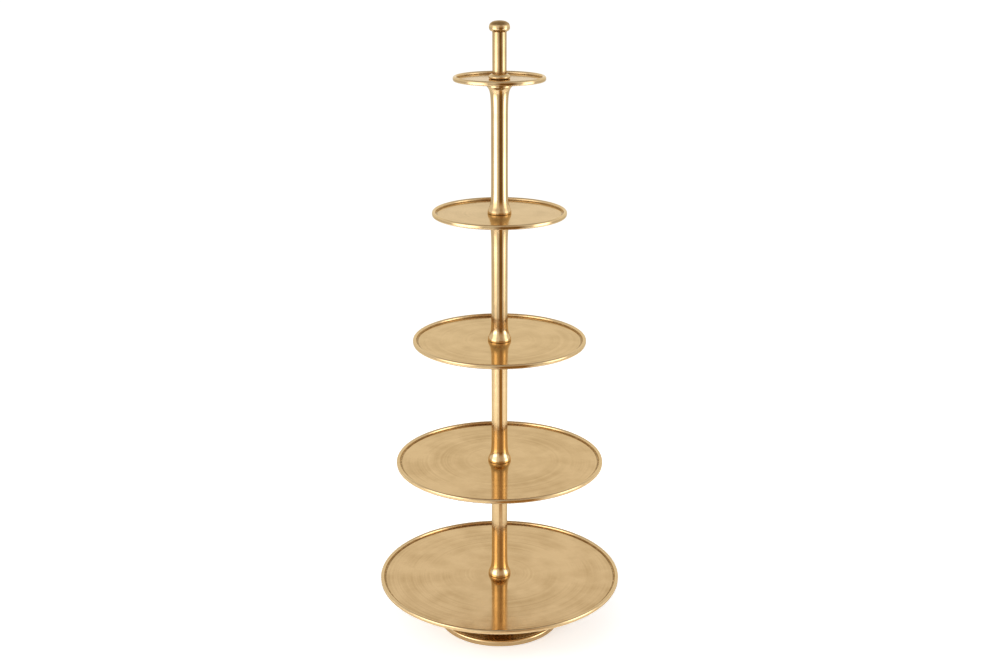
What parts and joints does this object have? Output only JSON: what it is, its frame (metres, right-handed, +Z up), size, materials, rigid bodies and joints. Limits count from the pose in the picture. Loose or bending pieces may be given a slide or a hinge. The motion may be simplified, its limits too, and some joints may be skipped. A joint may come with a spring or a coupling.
{
  "type": "tiered etagere",
  "caption": "Tall free-standing tiered stand: a low round foot, round rimmed trays that shrink upwards on turned brass columns, and a knobbed lifting handle.",
  "frame": {"origin": "on the floor under the middle of the foot", "axes": "+Z up along the column, on which every piece is centred; X and Y are alike"},
  "size_m": [0.401, 0.401, 1],
  "materials": {
    "polished_brass": "polished, lightly aged",
    "turned_brass": "satin, with fine concentric turning marks",
    "plain_brass": "machined, unpolished",
    "zinc_steel": "zinc plated",
    "fibre": "vulcanised fibre",
    "felt": "dark felt"
  },
  "bodies": {
    "base": {"foot": "polished_brass", "foot_pad": "felt", "foot_bolt": "zinc_steel", "foot_bolt_washer": "zinc_steel", "under_washer_1": "fibre", "tray_1": "turned_brass"},
    "lift_1": {"over_washer_1": "fibre"},
    "column_1": {"spindle_1": "polished_brass", "base_bush_1": "plain_brass", "top_bush_1": "plain_brass", "stud_1": "zinc_steel", "under_washer_2": "fibre", "tray_2": "turned_brass"},
    "lift_2": {"over_washer_2": "fibre"},
    "column_2": {"spindle_2": "polished_brass", "base_bush_2": "plain_brass", "top_bush_2": "plain_brass", "stud_2": "zinc_steel", "under_washer_3": "fibre", "tray_3": "turned_brass"},
    "lift_3": {"over_washer_3": "fibre"},
    "column_3": {"spindle_3": "polished_brass", "base_bush_3": "plain_brass", "top_bush_3": "plain_brass", "stud_3": "zinc_steel", "under_washer_4": "fibre", "tray_4": "turned_brass"},
    "lift_4": {"over_washer_4": "fibre"},
    "column_4": {"spindle_4": "polished_brass", "base_bush_4": "plain_brass", "top_bush_4": "plain_brass", "stud_4": "zinc_steel", "under_washer_5": "fibre", "tray_5": "turned_brass"},
    "lift_5": {"over_washer_5": "fibre"},
    "grip": {"handle": "polished_brass", "knob": "polished_brass"}
  },
  "joints": [
    {"name": "spindle_1_rise", "type": "slide", "parent": "base", "child": "lift_1", "axis": [0, 0, 1], "range_m": [0, 0.015]},
    {"name": "spindle_1_turn", "type": "hinge", "parent": "lift_1", "child": "column_1", "pos_m": [0, 0, 0.0824], "axis": [0, 0, 1], "range_deg": [0, 4320]},
    {"name": "spindle_2_rise", "type": "slide", "parent": "column_1", "child": "lift_2", "axis": [0, 0, 1], "range_m": [0, 0.015]},
    {"name": "spindle_2_turn", "type": "hinge", "parent": "lift_2", "child": "column_2", "pos_m": [0, 0, 0.2902], "axis": [0, 0, 1], "range_deg": [0, 4320]},
    {"name": "spindle_3_rise", "type": "slide", "parent": "column_2", "child": "lift_3", "axis": [0, 0, 1], "range_m": [0, 0.015]},
    {"name": "spindle_3_turn", "type": "hinge", "parent": "lift_3", "child": "column_3", "pos_m": [0, 0, 0.498], "axis": [0, 0, 1], "range_deg": [0, 4320]},
    {"name": "spindle_4_rise", "type": "slide", "parent": "column_3", "child": "lift_4", "axis": [0, 0, 1], "range_m": [0, 0.015]},
    {"name": "spindle_4_turn", "type": "hinge", "parent": "lift_4", "child": "column_4", "pos_m": [0, 0, 0.7058], "axis": [0, 0, 1], "range_deg": [0, 4320]},
    {"name": "handle_rise", "type": "slide", "parent": "column_4", "child": "lift_5", "axis": [0, 0, 1], "range_m": [0, 0.015]},
    {"name": "handle_turn", "type": "hinge", "parent": "lift_5", "child": "grip", "pos_m": [0, 0, 0.9136], "axis": [0, 0, 1], "range_deg": [0, 4320]}
  ],
  "couplings": [
    {"joint": "spindle_1_turn", "follows": "spindle_1_rise", "rad_per_m": 5026.5},
    {"joint": "spindle_2_turn", "follows": "spindle_2_rise", "rad_per_m": 5026.5},
    {"joint": "spindle_3_turn", "follows": "spindle_3_rise", "rad_per_m": 5026.5},
    {"joint": "spindle_4_turn", "follows": "spindle_4_rise", "rad_per_m": 5026.5},
    {"joint": "handle_turn", "follows": "handle_rise", "rad_per_m": 5026.5}
  ]
}
